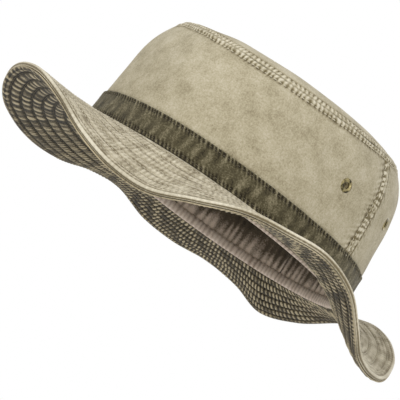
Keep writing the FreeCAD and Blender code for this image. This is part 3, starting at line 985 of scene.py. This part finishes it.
for name, away in (("tip_seam_stitches_low", -SEAM_ROW), ("tip_seam_stitches_high", SEAM_ROW)):

    def on_seam(angle, away=away):
        place = seam_place(angle)
        return crown(angle, place + place_step(place, away), THREAD_SINK)

    sizes = {"length": 2.1, "thick": 0.6, "rise": 0.3}
    round_threads(name, on_seam, cream_thread, "crown_cloth", CROWN_RADIUS, **sizes)
band_rows = (("band_stitches_low", BAND_ROW_LOW), ("band_stitches_high", BAND_HEIGHT - BAND_ROW_DROP))
for name, z in band_rows:

    def on_band(angle, z=z):
        return wall(angle, z, THREAD_SINK - lap)

    round_threads(name, on_band, olive_thread, "band_cloth", BAND_RADIUS, length=2.0, thick=0.45)
for side, middle in (("left", 90.0), ("right", 270.0)):
    for edge_name, away in (("front", -SEAM_ROW), ("back", SEAM_ROW)):
        angle = middle + (away if side == "left" else -away) / HALF_LENGTH * 180.0 / pi
        tall = float(seam_place(angle)) * TIP_SEAM_HEIGHT - 4.5
        heights = np.arange(BAND_HEIGHT + 1.5, min(tall, TIP_SEAM_HEIGHT - 5.0), STITCH_PITCH)
        points = wall(angle, heights, THREAD_SINK)
        forward = wall(angle, heights + 0.5, THREAD_SINK) - wall(angle, heights - 0.5, THREAD_SINK)
        name = "side_stitches_%s_%s" % (side, edge_name)
        sizes = {"length": 2.1, "thick": 0.55, "rise": 0.28}
        seam_threads(name, points, forward, cream_thread, "crown_cloth", **sizes)

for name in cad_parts:
    if name.startswith(("eyelet_", "washer_")):
        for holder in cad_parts[name].material_slots:
            holder.material = brass

# Floor, world and lights
floor_mesh = bpy.data.meshes.new("floor")
turns = np.linspace(0.0, 2.0 * pi, FLOOR_SIDES + 1)[:-1]
rim_points = [(FLOOR_RADIUS * cos(t), FLOOR_RADIUS * sin(t), FLOOR_HEIGHT) for t in turns]
floor_mesh.from_pydata(rim_points, [], [list(range(FLOOR_SIDES))])
floor = bpy.data.objects.new("floor", floor_mesh)
bpy.context.scene.collection.objects.link(floor)
ground = Nodes("pale_floor")
ground.shader.inputs["Base Color"].default_value = (0.82, 0.82, 0.81, 1.0)
ground.shader.inputs["Roughness"].default_value = 0.9
floor_mesh.materials.append(ground.material)

world = bpy.data.worlds.new("studio")
bpy.context.scene.world = world
world.use_nodes = True
tree = world.node_tree
tree.nodes.clear()
path = tree.nodes.new("ShaderNodeLightPath")
seen = tree.nodes.new("ShaderNodeMath")
seen.operation = "MAXIMUM"
tree.links.new(path.outputs["Is Camera Ray"], seen.inputs[0])
tree.links.new(path.outputs["Is Glossy Ray"], seen.inputs[1])
also = tree.nodes.new("ShaderNodeMath")
also.operation = "MAXIMUM"
tree.links.new(seen.outputs[0], also.inputs[0])
tree.links.new(path.outputs["Is Transmission Ray"], also.inputs[1])
ambient = tree.nodes.new("ShaderNodeBackground")
ambient.inputs["Strength"].default_value = AMBIENT
white = tree.nodes.new("ShaderNodeBackground")
for shade in (ambient, white):
    shade.inputs["Color"].default_value = (1.0, 1.0, 1.0, 1.0)
blend = tree.nodes.new("ShaderNodeMixShader")
tree.links.new(also.outputs[0], blend.inputs[0])
tree.links.new(ambient.outputs[0], blend.inputs[1])
tree.links.new(white.outputs[0], blend.inputs[2])
sky = tree.nodes.new("ShaderNodeOutputWorld")
tree.links.new(blend.outputs[0], sky.inputs[0])


def softbox(name, place, size, energy):
    lamp = bpy.data.lights.new(name, "AREA")
    lamp.shape = "DISK"
    lamp.size = size
    lamp.energy = energy
    holder = bpy.data.objects.new(name, lamp)
    holder.location = place
    holder.rotation_euler = Vector(place).to_track_quat("Z", "Y").to_euler()
    bpy.context.scene.collection.objects.link(holder)


softbox("key", (-0.5, -1.5, 1.2), 1.3, 15.0)
softbox("fill", (1.6, -0.9, 0.4), 1.3, 9.5)
softbox("back", (-0.6, 1.7, 1.0), 1.3, 9.0)

# Camera
tilt = radians(ELEVATION)
turn = radians(AZIMUTH)
back = Vector((sin(turn) * cos(tilt), -cos(turn) * cos(tilt), sin(tilt)))
right = Vector((cos(turn), sin(turn), 0.0))
up = back.cross(right)
spin = radians(ROLL)
x_axis = right * cos(spin) + up * sin(spin)
y_axis = up * cos(spin) - right * sin(spin)
lens = bpy.data.cameras.new("camera")
lens.sensor_width = SENSOR_WIDTH
lens.lens = FOCAL_LENGTH
lens.shift_x = SHIFT_X
lens.shift_y = SHIFT_Y
camera = bpy.data.objects.new("camera", lens)
facing = Matrix((x_axis, y_axis, back)).transposed().to_4x4()
camera.matrix_world = Matrix.Translation(back * DISTANCE) @ facing
bpy.context.scene.collection.objects.link(camera)
bpy.context.scene.camera = camera
bpy.context.scene.view_settings.view_transform = "Standard"
